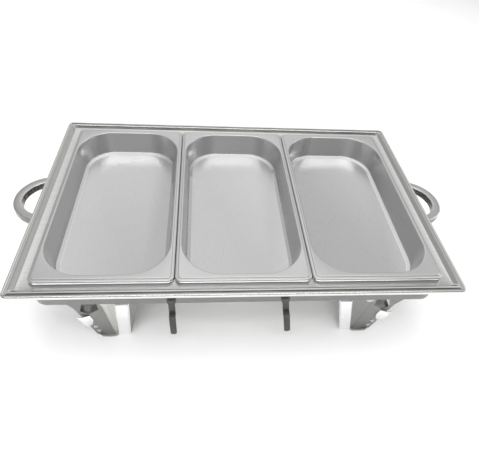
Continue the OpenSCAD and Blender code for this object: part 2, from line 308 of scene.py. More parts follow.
def makeFoodPan():
    flange = foodPan["flange"]
    top = foodPan["topZ"]
    low = top - foodPan["lipStep"]
    bend = foodPan["lipBend"]
    ridge = foodPan["ridgeIn"]
    rings = [insetRing(flange, 0, foodPan["lipZ"]), insetRing(flange, 0, low - bend - 0.4)]
    rings += bendRings(*flange, low - bend, bend, 0, 85, 5)
    # the rolled lip is lower than the flange, which starts behind a small step
    for inset, height in ((-1.3, low + 0.03), (-0.7, low + 0.1), (-0.25, top - 0.35), (0.2, top - 0.03),
                          (0.9, top)):
        rings.append(insetRing(flange, ridge + inset, height))
    mouth = foodPan["opening"]
    fold = foodPan["mouthBend"]
    rings += sinkRings(*mouth, top - 0.02, fold, 6)
    floorZ = top - foodPan["depth"]
    lean = foodPan["draft"] / 2
    wallTop = top - fold
    wallFoot = floorZ + foodPan["ledgeRise"]
    crease = foodPan["ledgeBend"]
    for part in (0.35, 0.7, 0.95):
        rings.append(insetRing(mouth, lean * part, wallTop + (wallFoot - wallTop) * part))
    # a crisp crease, a sloping ledge and the flat floor inside it
    rings.append(insetRing(mouth, lean + 0.1 * crease, wallFoot + 0.35 * crease))
    rings.append(insetRing(mouth, lean + 0.4 * crease, wallFoot))
    rings.append(insetRing(mouth, lean + crease, wallFoot - 0.3 * crease))
    slopeEnd = lean + foodPan["ledgeWidth"]
    for part, height in ((0.45, 0.55), (0.8, 0.14), (0.95, 0.03), (1.0, 0.0)):
        rings.append(insetRing(mouth, lean + crease + (slopeEnd - lean - crease) * part,
                               floorZ + (foodPan["ledgeRise"] - 0.3 * crease) * height))
    shell = pressedShell("food_pan", rings, foodPan["corner"], foodPan["sheet"])
    # a brighter steel on the sloping ledge is a painted highlight
    shell.data.materials.append(steels["panSatin"])
    shell.data.materials.append(steels["ledgePaintedHighlight"])
    for face in shell.data.polygons:
        onLedge = floorZ + 0.15 < face.center.z / mm < wallFoot and face.normal.z > 0
        face.material_index = 1 if onLedge else 0
    return shell


waterPan = {
    "rim": (575, 368, 8), "skirtZ": 133, "beadZ": 139, "beadBend": 2.4, "grooveIn": 3.6, "grooveDip": 1.8,
    "bandIn": 8.5, "bandCorner": 4.5, "landZ": 134, "land": (549, 342), "basin": (523, 307, 50),
    "basinBend": 3, "floorZ": 65, "draft": 18, "floorBend": 13, "sheet": 0.9, "corner": 16,
    # distance in from the groove's edge and share of its depth
    "groove": ((0, 0.25), (0.5, 0.8), (1.0, 1.0), (2.0, 0.97), (2.5, 0.75), (3.0, 0.15)),
    # share of the way from the band in to the land and share of the drop between them
    "step": ((0.12, 0.08), (0.3, 0.3), (0.7, 0.75), (0.88, 0.94), (1.0, 1.0)),
    "grooveWide": 2.9, "stepWide": 4.5,
}


def makeWaterPan():
    width, length, radius = waterPan["rim"]
    top = waterPan["beadZ"]
    bend = waterPan["beadBend"]
    rings = [(width - 1.6, length - 1.6, radius - 0.8, waterPan["skirtZ"]),
             (width - 0.8, length - 0.8, radius - 0.4, waterPan["skirtZ"] + 1.2),
             (width, length, radius, top - bend - 0.4)]
    rings += bendRings(width, length, radius, top - bend, bend, 0, 90, 6)
    groove = waterPan["grooveIn"]
    for along, share in waterPan["groove"]:
        rings.append(insetRing(waterPan["rim"], groove + along, top - share * waterPan["grooveDip"]))
    corner = waterPan["bandCorner"]
    stepW = width - 2 * waterPan["bandIn"]
    stepL = length - 2 * waterPan["bandIn"]
    rings.append((stepW, stepL, corner, top))
    landW, landL = waterPan["land"]
    land = waterPan["landZ"]
    for part, drop in waterPan["step"]:
        rings.append((stepW + (landW - stepW) * part, stepL + (landL - stepL) * part, corner + 2 * part,
                      top - (top - land) * drop))
    mouthW, mouthL, mouthR = waterPan["basin"]
    fold = waterPan["basinBend"]
    rings += sinkRings(mouthW, mouthL, mouthR, land - 0.02, fold, 5)
    floorZ = waterPan["floorZ"]
    draft = waterPan["draft"]
    bend = waterPan["floorBend"]
    rings.append((mouthW - draft, mouthL - draft, mouthR - draft / 3, floorZ + bend))
    rings += floorRings(mouthW - draft, mouthL - draft, mouthR - draft / 3, floorZ, bend, 7)
    shell = pressedShell("water_pan_shell", rings, waterPan["corner"], waterPan["sheet"])
    # a darker steel stands in for the dark bands mirrored in the groove and step of the long sides
    shell.data.materials.append(steels["rimBright"])
    shell.data.materials.append(steels["grooveShade"])
    for face in shell.data.polygons:
        sideInset = width / 2 - abs(face.center.x) / mm
        inset = length / 2 - abs(face.center.y) / mm
        z = face.center.z / mm
        inGroove = 0 < inset - groove < waterPan["grooveWide"] and z > land
        onStep = 0 < inset - waterPan["bandIn"] < waterPan["stepWide"] and land + 0.2 < z < top - 0.3
        face.material_index = 1 if inset < sideInset and (inGroove or onStep) else 0
    return shell


handle = {
    "centreX": 281, "loopR": 48, "width": 13, "height": 12, "topZ": 127, "railX": 270.4, "edge": 2.6,
    "footX": 270.3, "footSheet": 1.5, "footLength": 28, "footHeight": 18, "footCorner": 4, "footEdge": 0.3,
    "smooth": 40,
}


def makeHandle():
    radius = handle["loopR"] - handle["width"] / 2
    middleZ = handle["topZ"] - handle["height"] / 2
    deselectAll()
    bpy.ops.mesh.primitive_plane_add(size=1)
    piece = bpy.context.object
    piece.name = "handle"
    bpy.ops.object.mode_set(mode="EDIT")
    bpy.ops.transform.resize(value=(handle["width"] * mm, handle["height"] * mm, 1))
    bpy.ops.mesh.bevel(offset=handle["edge"] * mm, segments=4, affect="VERTICES", clamp_overlap=False)
    bpy.ops.object.mode_set(mode="OBJECT")
    # the section stands up across the strip: its width along Y, its height along Z
    piece.matrix_world = Matrix.Translation((handle["railX"] * mm, -radius * mm, middleZ * mm)) @ Matrix(
        ((0, 0, 1, 0), (1, 0, 0, 0), (0, 1, 0, 0), (0, 0, 0, 1)))
    bpy.ops.object.transform_apply(location=True, rotation=True, scale=True)
    bpy.ops.object.mode_set(mode="EDIT")
    bpy.ops.mesh.select_all(action="SELECT")
    bpy.ops.mesh.extrude_region_move(TRANSFORM_OT_translate={
        "value": ((handle["centreX"] - handle["railX"]) * mm, 0, 0)})
    bpy.ops.mesh.spin(steps=40, angle=-math.pi, center=(handle["centreX"] * mm, 0, middleZ * mm),
                      axis=(0, 0, 1))
    bpy.ops.mesh.extrude_region_move(TRANSFORM_OT_translate={
        "value": ((handle["railX"] - handle["centreX"]) * mm, 0, 0)})
    bpy.ops.mesh.select_all(action="SELECT")
    bpy.ops.mesh.remove_doubles(threshold=0.00001)
    bpy.ops.mesh.normals_make_consistent(inside=False)
    bpy.ops.object.mode_set(mode="OBJECT")
    feet = []
    for y in (-radius, radius):
        deselectAll()
        place = ((handle["footX"] + handle["footSheet"]) * mm, y * mm, middleZ * mm)
        bpy.ops.mesh.primitive_plane_add(size=1, rotation=(0, math.pi / 2, 0), location=place)
        foot = bpy.context.object
        bpy.ops.object.transform_apply(location=True, rotation=True, scale=True)
        bpy.ops.object.mode_set(mode="EDIT")
        bpy.ops.mesh.select_all(action="SELECT")
        bpy.ops.transform.resize(value=(1, handle["footLength"] * mm, handle["footHeight"] * mm),
                                 center_override=(0, y * mm, middleZ * mm))
        bpy.ops.mesh.bevel(offset=handle["footCorner"] * mm, segments=6, affect="VERTICES")
        bpy.ops.object.mode_set(mode="OBJECT")
        foldedSheet(foot, handle["footSheet"], handle["footEdge"])
        feet.append(foot)
    piece = joinPieces([piece] + feet, "handle")
    # a darker steel stands in for what the standing walls mirror
    piece.data.materials.append(steels["handlePolish"])
    piece.data.materials.append(steels["handleWall"])
    for face in piece.data.polygons:
        face.material_index = 1 if abs(face.normal.z) < 0.4 else 0
    smoothByAngle(piece, handle["smooth"])
    return piece


leg = {
    "pivotX": 183, "pivotZ": 82, "top": 8, "foot": -82, "faceY": -156.7, "sheet": 1.2, "edge": 0.3,
    "outline": ((-47, 8), (47, 8), (25, -82), (-23, -82)), "crease": ((-5, 2), (2, -63)), "creaseRise": 1.4,
    "ribWidth": 19, "ribRise": 2.5, "ribWall": 1.8, "ribTop": 0, "pinHole": 3.1,
    "vent": ((-10, 5), (-10, -16), (-25, -27), (-35, -19), (-27, 5)),
    "flange": ((-22, 1), (12.5, 1), (4.6, -4.3), (-5, -5), (-15, -4.3)),
    "tab": ((-39, -29), (-24, -29), (-21, -40), (-24, -52), (-32.5, -54)),
    "tabFold": ((-32, -29), (-27, -54)),
    "tabRise": 3.0, "tabSheet": 1.0, "smallEdge": 0.25, "near": 0.4,
}


def leftOf(line, x, z):
    start, end = line
    return (end[0] - start[0]) * (z - start[1]) - (end[1] - start[1]) * (x - start[0]) > 0


def makeLeg(name, lead):
    # drawn about its pivot, with x towards the middle of the stand and the front side facing -y
    outline = leg["outline"]
    piece = flatPlate(name, outline, leg["faceY"])
    top = leg["top"]
    foot = leg["foot"]
    width = leg["ribWidth"]
    inside = [outline[1][0] - lead, outline[2][0]]
    ribInner = ((inside[0], top), (inside[1], foot))
    ribOuter = ((inside[0] - width, top), (inside[1] - width, foot))
    bpy.ops.object.mode_set(mode="EDIT")
    for line in (leg["crease"], ribOuter, ribInner, ((-1, leg["ribTop"]), (1, leg["ribTop"]))):
        cutAlong(*line)
    selectFaces(piece, lambda face: face.center.z < leg["ribTop"] * mm
                and leftOf(ribOuter, face.center.x / mm, face.center.z / mm)
                and not leftOf(ribInner, face.center.x / mm, face.center.z / mm))
    bpy.ops.mesh.inset(thickness=leg["ribWall"] * mm, depth=leg["ribRise"] * mm)
    creaseTop, creaseFoot = leg["crease"]
    slope = (creaseFoot[0] - creaseTop[0]) / (creaseFoot[1] - creaseTop[1])
    creaseX = creaseFoot[0] + slope * (foot - creaseFoot[1])
    selectVertices(piece, lambda vertex: abs(vertex.co.x - creaseX * mm) < leg["near"] * mm
                   and abs(vertex.co.z - foot * mm) < leg["near"] * mm)
    bpy.ops.transform.translate(value=(0, -leg["creaseRise"] * mm, 0))
    bpy.ops.object.mode_set(mode="OBJECT")
    # three tones stand in for how differently the facets of one sheet mirror the room
    for finish in ("legPlate", "legFacet", "legRib"):
        piece.data.materials.append(steels[finish])
    for face in piece.data.polygons:
        x = face.center.x / mm
        z = face.center.z / mm
        proud = face.center.y < (leg["faceY"] - leg["ribRise"] * 0.4) * mm
        if proud:
            face.material_index = 2
        elif leftOf(leg["crease"], x, z) and not leftOf(ribOuter, x, z) and lead > 0:
            face.material_index = 1
        else:
            face.material_index = 0
    applyModifier(piece, "SOLIDIFY", thickness=leg["sheet"] * mm, offset=-1, use_even_offset=True)
    cutter = flatPlate("cutter", leg["vent"], leg["faceY"])
    applyModifier(cutter, "SOLIDIFY", thickness=0.02, offset=0)
    cutOut(piece, cutter)
    drill(piece, 0, leg["faceY"], 0, leg["pinHole"], 20)
    applyModifier(piece, "BEVEL", width=leg["edge"] * mm, segments=2, limit_method="ANGLE",
                  angle_limit=math.radians(40))
    tab = flatPlate("tab", leg["tab"], leg["faceY"] - leg["tabSheet"])
    bpy.ops.object.mode_set(mode="EDIT")
    cutAlong(*leg["tabFold"])
    selectVertices(tab, lambda vertex: leftOf(leg["tabFold"][::-1], vertex.co.x / mm - 1, vertex.co.z / mm))
    bpy.ops.transform.translate(value=(-1 * mm, -leg["tabRise"] * mm, 0))
    bpy.ops.object.mode_set(mode="OBJECT")
    foldedSheet(tab, leg["tabSheet"], leg["smallEdge"])
    # the foot's flange is a flat lens that turns outwards on the table
    flange = flatPlate("flange", leg["flange"], 0)
    flange.data.transform(Matrix.Rotation(-math.pi / 2, 4, "X"))
    flange.data.transform(Matrix.Translation((0, leg["faceY"] * mm, (foot + leg["sheet"]) * mm)))
    foldedSheet(flange, leg["sheet"], leg["smallEdge"])
    # the flange takes the leg's middle tone, a painted reflection
    flange.data.materials.append(steels["legFacet"])
    return piece, flange, tab


crossPanel = {
    "faceX": -24.6, "lowZ": -76, "highZ": -26, "lean": -13.3, "halfLength": 155.45, "sheet": 1.2,
    "frame": 11, "rampWidth": 3, "recess": 2, "tab": 14, "lip": 6, "edge": 0.3,
}


def makeCrossPanel():
    # pressed panel that faces outwards, with a tab at each leg and a lip along its top
    height = crossPanel["highZ"] - crossPanel["lowZ"]
    middle = (crossPanel["highZ"] + crossPanel["lowZ"]) / 2
    deselectAll()
    bpy.ops.mesh.primitive_plane_add(size=1, rotation=(0, -math.pi / 2, 0))
    piece = bpy.context.object
    piece.name = "panel"
    bpy.ops.object.transform_apply(location=True, rotation=True, scale=True)
    bpy.ops.object.mode_set(mode="EDIT")
    bpy.ops.mesh.select_all(action="SELECT")
    bpy.ops.transform.resize(value=(1, 2 * crossPanel["halfLength"] * mm, height * mm))
    bpy.ops.transform.translate(value=(crossPanel["faceX"] * mm, 0, middle * mm))
    selectVertices(piece, lambda vertex: vertex.co.z > middle * mm)
    bpy.ops.transform.translate(value=(crossPanel["lean"] * mm, 0, 0))
    bpy.ops.mesh.select_all(action="SELECT")
    bpy.ops.mesh.inset(thickness=crossPanel["frame"] * mm, depth=0)
    bpy.ops.mesh.inset(thickness=crossPanel["rampWidth"] * mm, depth=-crossPanel["recess"] * mm)
    selectVertices(piece, lambda vertex: vertex.co.z > (crossPanel["highZ"] - 0.1) * mm)
    bpy.ops.mesh.extrude_edges_move(TRANSFORM_OT_translate={"value": (crossPanel["lip"] * mm, 0, 0)})
    endY = crossPanel["halfLength"] - 0.1

    def onFace(vertex):
        up = max(0, (vertex.co.z / mm - crossPanel["lowZ"]) / height)
        return vertex.co.x < (crossPanel["faceX"] + crossPanel["lean"] * up + 1) * mm

    for side in (-1, 1):
        selectVertices(piece, lambda vertex: vertex.co.y * side > endY * mm and onFace(vertex))
        bpy.ops.mesh.extrude_edges_move(TRANSFORM_OT_translate={"value": (crossPanel["tab"] * mm, 0, 0)})
    bpy.ops.mesh.select_all(action="SELECT")
    bpy.ops.mesh.normals_make_consistent(inside=False)
    bpy.ops.object.mode_set(mode="OBJECT")
    face = max(piece.data.polygons, key=lambda polygon: polygon.area)
    if face.normal.x > 0:
        piece.data.flip_normals()
    foldedSheet(piece, crossPanel["sheet"], crossPanel["edge"])
    smoothByAngle(piece, 35)
    return piece


hook = {
    "left": -94, "right": 58, "lean": 10, "sheet": 1.5, "pinZ": 96, "eyeRadius": 6, "eyeLow": 92, "neckZ": 87,
    "width": 9, "faceY": -163.5, "pinY": -165, "pinHole": 2.1, "tipZ": 18, "tipRound": 4.4, "edge": 0.25,
    # the step forward, as moves along y and z
    "bend": ((-1.2, -0.9), (-0.5, -1.2), (-0.7, -0.4), (-2.7, -0.1), (-0.8, -0.4), (-0.4, -0.9)),
    "bendZ": 67.2, "lowerZ": 63.3,
}


def makeHook():
    # flat strip, hung from an eye at its top, that steps forward over a ledge
    top = hook["pinZ"] + hook["eyeRadius"]
    deselectAll()
    bpy.ops.mesh.primitive_plane_add(size=1, rotation=(math.pi / 2, 0, 0))
    piece = bpy.context.object
    piece.name = "strip"
    bpy.ops.object.transform_apply(location=True, rotation=True, scale=True)
    bpy.ops.object.mode_set(mode="EDIT")
    bpy.ops.mesh.select_all(action="SELECT")
    bpy.ops.transform.resize(value=(2 * hook["eyeRadius"] * mm, 1, (top - hook["eyeLow"]) * mm))
    bpy.ops.transform.translate(value=(0, hook["faceY"] * mm, (top + hook["eyeLow"]) / 2 * mm))
    selectVertices(piece, lambda vertex: vertex.co.z < (hook["eyeLow"] + 1) * mm)
    toNeck = (hook["neckZ"] - hook["eyeLow"]) * mm
    bpy.ops.mesh.extrude_edges_move(TRANSFORM_OT_translate={"value": (0, 0, toNeck)})
    narrow = hook["width"] / (2 * hook["eyeRadius"])
    bpy.ops.transform.resize(value=(narrow, 1, 1))
    moves = [(0, hook["bendZ"] - hook["neckZ"]), *hook["bend"], (0, hook["tipZ"] - hook["lowerZ"])]
    for forward, down in moves:
        bpy.ops.mesh.extrude_edges_move(TRANSFORM_OT_translate={"value": (0, forward * mm, down * mm)})
    bpy.ops.mesh.bevel(offset=hook["tipRound"] * mm, segments=8, affect="VERTICES")
    selectVertices(piece, lambda vertex: vertex.co.z > (top - 0.1) * mm)
    bpy.ops.mesh.bevel(offset=(hook["eyeRadius"] - 0.2) * mm, segments=8, affect="VERTICES")
    bpy.ops.object.mode_set(mode="OBJECT")
    applyModifier(piece, "SOLIDIFY", thickness=hook["sheet"] * mm, offset=-1, use_even_offset=True)
    drill(piece, 0, hook["faceY"], hook["pinZ"], hook["pinHole"], 8)
    applyModifier(piece, "BEVEL", width=hook["edge"] * mm, segments=2, limit_method="ANGLE",
                  angle_limit=math.radians(50))
    smoothByAngle(piece, 35)
    return piece


fuelHolder = {
    "x": 60, "armX": 44, "pinZ": 43.3, "pinHole": 2.12, "lugZ": 38, "lugSheet": 1.7, "coverZ": 40.6,
    "coverSheet": 1.2, "edge": 0.2,
    # each strap: where it starts and ends along x, its width and the radius of its corners
    "lug": (39.2, 49, 10, 4.6), "arm": (20, 50, 12, 5.6), "grip": (-36, -20, 10, 3),
    "gripBend": -31.5, "gripTurn": (0.8, 2.2),
    "cup": ((36, 0), (38, 0.3), (39.4, 1.2), (40, 2.8), (40, 22), (39.6, 23), (39.6, 25), (40, 26),
            (40, 36.4), (40.8, 37.2), (41.4, 38.3), (41.2, 39.3), (40.4, 39.9), (39.6, 39.9), (39, 39.2),
            (39, 26.3), (38.7, 25), (38.7, 23), (39, 21.7), (39, 3), (38.4, 1.8), (37, 1.2), (20, 1.0)),
    "cover": ((20, 40.75), (25.2, 40.6), (26, 40.95), (26, 41.5), (25.2, 41.8), (19, 41.8), (17.5, 42.1),
              (16.2, 42.9), (14.5, 43.2), (6, 43.2)),
}


def strapPlate(name, z, sheet):
    # flat strap lying level, with round ends
    start, end, width, corner = fuelHolder[name]
    deselectAll()
    bpy.ops.mesh.primitive_plane_add(size=1)
    piece = bpy.context.object
    piece.name = name
    bpy.ops.object.mode_set(mode="EDIT")
    bpy.ops.mesh.select_all(action="SELECT")
    bpy.ops.transform.resize(value=((end - start) * mm, width * mm, 1))
    bpy.ops.transform.translate(value=((start + end) / 2 * mm, 0, (z + sheet) * mm))
    bpy.ops.mesh.bevel(offset=corner * mm, segments=8, affect="VERTICES")
    bpy.ops.object.mode_set(mode="OBJECT")
    foldedSheet(piece, sheet, fuelHolder["edge"])
    return piece


def makeFuelCup():
    # spun cup with a rolled rim, a bead round its wall and a lug for the cover's pin
    bowl = turned("bowl", fuelHolder["cup"], 96)
    lug = strapPlate("lug", fuelHolder["lugZ"], fuelHolder["lugSheet"])
    return joinPieces([bowl, lug], "cup")


def makeFuelCover():
    # domed disc with its arm and a finger tab turned up at the end
    disc = turned("disc", fuelHolder["cover"], 72)
    level = fuelHolder["coverZ"]
    arm = strapPlate("arm", level, fuelHolder["coverSheet"])
    grip = strapPlate("grip", level, fuelHolder["coverSheet"])
    selectVertices(grip, lambda vertex: vertex.co.x < fuelHolder["gripBend"] * mm)
    back, rise = fuelHolder["gripTurn"]
    bpy.ops.transform.translate(value=(back * mm, 0, rise * mm))
    bpy.ops.object.mode_set(mode="OBJECT")
    cover = joinPieces([disc, arm, grip], "cover")
    deselectAll()
    bpy.ops.mesh.primitive_cylinder_add(vertices=32, radius=fuelHolder["pinHole"] * mm, depth=20 * mm,
                                        location=(fuelHolder["armX"] * mm, 0, level * mm))
    cutOut(cover, bpy.context.object)
    smoothByAngle(cover, 35)
    return cover


rivets = {
    # each profile runs along the rivet from its outer head inwards: radius, distance
    "corner": ((2.4, 0), (3.4, 0.3), (4, 1.0), (1.95, 1.0), (1.95, 3.4), (4, 3.4), (3.4, 4.1), (2.4, 4.4)),
    "handle": ((1.8, 0), (2.8, 0.25), (3.4, 1.0), (1.95, 1.0), (1.95, 3.7), (3.4, 3.7), (2.8, 4.4),
               (1.8, 4.7)),
    "bracket": ((1.5, 0), (2.4, 0.25), (3, 1.0), (1.45, 1.0), (1.45, 3.4), (3, 3.4), (2.4, 4.1), (1.5, 4.4)),
    "pivot": ((2.5, 0), (4.8, 0.3), (5.7, 0.8), (6, 1.6), (3, 1.6), (3, 4.6), (5.5, 4.6), (5, 5.9),
              (2.5, 6.2)),
    "hook": ((1.8, 0), (3.4, 0.25), (4.2, 1.2), (2, 1.2), (2, 4.5), (3.5, 4.5), (3, 5.3), (1.5, 5.5)),
    "cover": ((1.5, 0), (2.9, 0.25), (3.5, 1.2), (2, 1.2), (2, 5.3), (3.2, 5.3), (3.2, 6.3), (2.6, 6.5)),
}
rivetPlaces = {
    "cornerX": 272.5, "cornerY": 132, "cornerZ": (99, 121),
    "handleX": 272.8, "handleY": (-51.5, -30.5, 30.5, 51.5), "handleZ": 121,
    "bracketX": (202, 209), "bracketY": 162.7, "bracketZ": 122,
    "pivotY": 158.6, "legY": 157.7, "leg": ((18.9, 11), (21.9, 22)),
}
pointing = {
    "+x": Matrix.Rotation(math.pi / 2, 4, "Y"), "-x": Matrix.Rotation(-math.pi / 2, 4, "Y"),
    "+y": Matrix.Rotation(-math.pi / 2, 4, "X"), "-y": Matrix.Rotation(math.pi / 2, 4, "X"),
    "-z": Matrix.Rotation(math.pi, 4, "X"),
}


def rivetRow(node, kind, places, finish="rivetSteel"):
    # one rivet, turned once and copied to each place; a place is x, y, z and the way it points
    master = turned(kind, rivets[kind], 28)
    copies = []
    for index, (x, y, z, way) in enumerate(places):
        matrix = Matrix.Translation((x * mm, y * mm, z * mm)) @ pointing[way]
        copies.append(placedCopy(master, node + str(index), matrix))
    discard(master)
    piece = joinPieces(copies, node + "_set")
    standFor(piece, node, [steels[finish]])


# materials
def addNode(tree, kind, place, **values):
    node = tree.nodes.new(kind)
    node.location = place
    for key, value in values.items():
        setattr(node, key, value)
    return node


def steelSurfaceGroup():
    # brushing, soft smudges and fine pits that every steel finish here is mixed from
    group = bpy.data.node_groups.new("steelSurface", "ShaderNodeTree")
    group.interface.new_socket(name="Brush", in_out="INPUT", socket_type="NodeSocketVector")
    for name in ("Brush Scale", "Smudge Scale", "Pit Scale"):
        group.interface.new_socket(name=name, in_out="INPUT", socket_type="NodeSocketFloat")
    for name in ("Grain", "Smudge", "Pits", "Height"):
        group.interface.new_socket(name=name, in_out="OUTPUT", socket_type="NodeSocketFloat")
    inlet = addNode(group, "NodeGroupInput", (-900, 0))
    outlet = addNode(group, "NodeGroupOutput", (700, 0))
    place = addNode(group, "ShaderNodeTexCoord", (-900, 300))
    stretch = addNode(group, "ShaderNodeVectorMath", (-650, 200), operation="MULTIPLY")
    brush = addNode(group, "ShaderNodeTexNoise", (-400, 250))
    brush.inputs["Detail"].default_value = 5
    brush.inputs["Roughness"].default_value = 0.65
    smudge = addNode(group, "ShaderNodeTexNoise", (-400, 0))
    smudge.inputs["Detail"].default_value = 3
    smudge.inputs["Distortion"].default_value = 0.6
    smudgeRamp = addNode(group, "ShaderNodeMapRange", (-150, 0))
    smudgeRamp.inputs["From Min"].default_value = 0.4
    smudgeRamp.inputs["From Max"].default_value = 0.72
    pits = addNode(group, "ShaderNodeTexNoise", (-400, -250))
    pits.inputs["Detail"].default_value = 2
    mixed = addNode(group, "ShaderNodeMath", (200, 0), operation="MULTIPLY_ADD")
    mixed.inputs[1].default_value = 0.7
    links = group.links
    links.new(place.outputs["Object"], stretch.inputs[0])
    links.new(inlet.outputs["Brush"], stretch.inputs[1])
    links.new(stretch.outputs[0], brush.inputs["Vector"])
    links.new(inlet.outputs["Brush Scale"], brush.inputs["Scale"])
    links.new(place.outputs["Object"], smudge.inputs["Vector"])
    links.new(inlet.outputs["Smudge Scale"], smudge.inputs["Scale"])
    links.new(place.outputs["Object"], pits.inputs["Vector"])
    links.new(inlet.outputs["Pit Scale"], pits.inputs["Scale"])
    links.new(smudge.outputs["Fac"], smudgeRamp.inputs["Value"])
    links.new(brush.outputs["Fac"], mixed.inputs[0])
    links.new(pits.outputs["Fac"], mixed.inputs[2])
    links.new(brush.outputs["Fac"], outlet.inputs["Grain"])
    links.new(smudgeRamp.outputs["Result"], outlet.inputs["Smudge"])
    links.new(pits.outputs["Fac"], outlet.inputs["Pits"])
    links.new(mixed.outputs[0], outlet.inputs["Height"])
    return group


steelFinishes = {
    # light and dark tone, roughness from and to, brushing along the axes, brush scale, bump
    # the tones are set for this light and are not the steel's own
    "panSatin": {"light": (0.80, 0.80, 0.80), "dark": (0.74, 0.74, 0.74), "rough": (0.24, 0.33),
                 "brush": (1, 0.05, 1), "scale": 1300, "bump": 0.008},
    # painted highlight for the food pans' sloping ledge
    "ledgePaintedHighlight": {"light": (0.97, 0.97, 0.96), "dark": (0.90, 0.90, 0.89), "rough": (0.06, 0.16),
                    "brush": (1, 1, 1), "scale": 300, "bump": 0.01},
    "rimBright": {"light": (0.84, 0.84, 0.82), "dark": (0.74, 0.74, 0.72), "rough": (0.12, 0.26),
                  "brush": (0.04, 1, 1), "scale": 1400, "bump": 0.02},
    "grooveShade": {"light": (0.30, 0.30, 0.285), "dark": (0.12, 0.12, 0.115), "rough": (0.22, 0.40),
                    "brush": (0.04, 1, 1), "scale": 500, "bump": 0.02},
    "handleWall": {"light": (0.26, 0.26, 0.25), "dark": (0.12, 0.12, 0.115), "rough": (0.14, 0.30),
                   "brush": (1, 1, 0.2), "scale": 500, "bump": 0.02},
    # dull mill steel for rails and brackets, darkened further as painted shade
    "railMillAndShade": {"light": (0.27, 0.27, 0.27), "dark": (0.20, 0.20, 0.205), "rough": (0.26, 0.42),
                 "brush": (0.04, 1, 1), "scale": 1300, "bump": 0.03},
    # the three leg tones are painted reflections of the room on one sheet steel
    "legPlate": {"light": (0.30, 0.30, 0.29), "dark": (0.24, 0.24, 0.235), "rough": (0.26, 0.42),
                 "brush": (1, 1, 0.05), "scale": 1500, "bump": 0.02},
    "legFacet": {"light": (0.56, 0.56, 0.54), "dark": (0.49, 0.49, 0.47), "rough": (0.22, 0.36),
                 "brush": (1, 1, 0.05), "scale": 1500, "bump": 0.02},
    "legRib": {"light": (0.95, 0.95, 0.95), "dark": (0.88, 0.88, 0.88), "rough": (0.16, 0.30),
               "brush": (1, 1, 0.05), "scale": 1500, "bump": 0.02},
    "handlePolish": {"light": (0.80, 0.79, 0.77), "dark": (0.64, 0.63, 0.61), "rough": (0.10, 0.26),
                     "brush": (1, 1, 0.2), "scale": 700, "bump": 0.03},
    # near-black steel on the hooks and their pins is painted shade
    "hookShade": {"light": (0.105, 0.105, 0.10), "dark": (0.06, 0.06, 0.06), "rough": (0.20, 0.38),
                  "brush": (1, 1, 0.05), "scale": 1300, "bump": 0.03},
    "spunSteel": {"light": (0.74, 0.74, 0.73), "dark": (0.62, 0.62, 0.61), "rough": (0.16, 0.32),
                  "brush": (0.15, 0.15, 1), "scale": 1200, "bump": 0.03},
    "rivetSteel": {"light": (0.74, 0.74, 0.73), "dark": (0.54, 0.54, 0.54), "rough": (0.18, 0.38),
                   "brush": (1, 1, 1), "scale": 1200, "bump": 0.05},
}


def steelMaterial(name, surface):
    finish = steelFinishes[name]
    material = bpy.data.materials.new(name)
    material.use_nodes = True
    tree = material.node_tree
    tree.nodes.clear()
    output = addNode(tree, "ShaderNodeOutputMaterial", (700, 0))
    shader = addNode(tree, "ShaderNodeBsdfPrincipled", (400, 0))
    shader.inputs["Metallic"].default_value = 1.0
    detail = addNode(tree, "ShaderNodeGroup", (-500, 0))
    detail.node_tree = surface
    detail.inputs["Brush"].default_value = finish["brush"]
    detail.inputs["Brush Scale"].default_value = finish["scale"]
    detail.inputs["Smudge Scale"].default_value = 11
    detail.inputs["Pit Scale"].default_value = 1500
    tone = addNode(tree, "ShaderNodeMix", (0, 200), data_type="RGBA")
    tone.inputs["A"].default_value = (*finish["dark"], 1)
    tone.inputs["B"].default_value = (*finish["light"], 1)
    toneRange = addNode(tree, "ShaderNodeMapRange", (-230, 200))
    toneRange.inputs["From Min"].default_value = 0.3
    toneRange.inputs["From Max"].default_value = 0.6
    rough = addNode(tree, "ShaderNodeMapRange", (0, -100))
    rough.inputs["To Min"].default_value = finish["rough"][0]
    rough.inputs["To Max"].default_value = finish["rough"][1]
    worn = addNode(tree, "ShaderNodeMath", (-230, -100), operation="MULTIPLY_ADD")
    worn.inputs[1].default_value = 0.45
    bump = addNode(tree, "ShaderNodeBump", (150, -350))
    bump.inputs["Strength"].default_value = finish["bump"]
    bump.inputs["Distance"].default_value = 0.0004
    links = tree.links
    links.new(detail.outputs["Grain"], toneRange.inputs["Value"])
    links.new(toneRange.outputs["Result"], tone.inputs["Factor"])
    links.new(tone.outputs["Result"], shader.inputs["Base Color"])
    links.new(detail.outputs["Smudge"], worn.inputs[0])
    links.new(detail.outputs["Grain"], worn.inputs[2])
    links.new(worn.outputs[0], rough.inputs["Value"])
    links.new(rough.outputs["Result"], shader.inputs["Roughness"])
    links.new(detail.outputs["Height"], bump.inputs["Height"])
    links.new(bump.outputs["Normal"], shader.inputs["Normal"])
    links.new(shader.outputs[0], output.inputs[0])
    return material


surfaceGroup = steelSurfaceGroup()
steels = {name: steelMaterial(name, surfaceGroup) for name in steelFinishes}
print("materials made")


firstPan = makeFoodPan()
for index, place in enumerate(("left", "middle", "right")):
    deselectAll()
    pan = firstPan if index == 2 else firstPan.copy()
    if index < 2:
        pan.data = firstPan.data.copy()
        bpy.context.collection.objects.link(pan)
    pan.name = place + "_pan_shell"
    pan.data.name = pan.name
    pan.data.transform(Matrix.Translation(((index - 1) * foodPan["pitch"] * mm, 0, 0)))
    standFor(pan, place + "_food_pan")
print("food pans made")

waterShell = makeWaterPan()
standFor(waterShell, "water_pan")
print("water pan made")

rightHandle = makeHandle()
rightHandle.name = "right_loop"
leftHandle = mirroredCopy(rightHandle, "left_loop", (-1, 1, 1))
standFor(rightHandle, "right_handle")
standFor(leftHandle, "left_handle")
print("handles made")


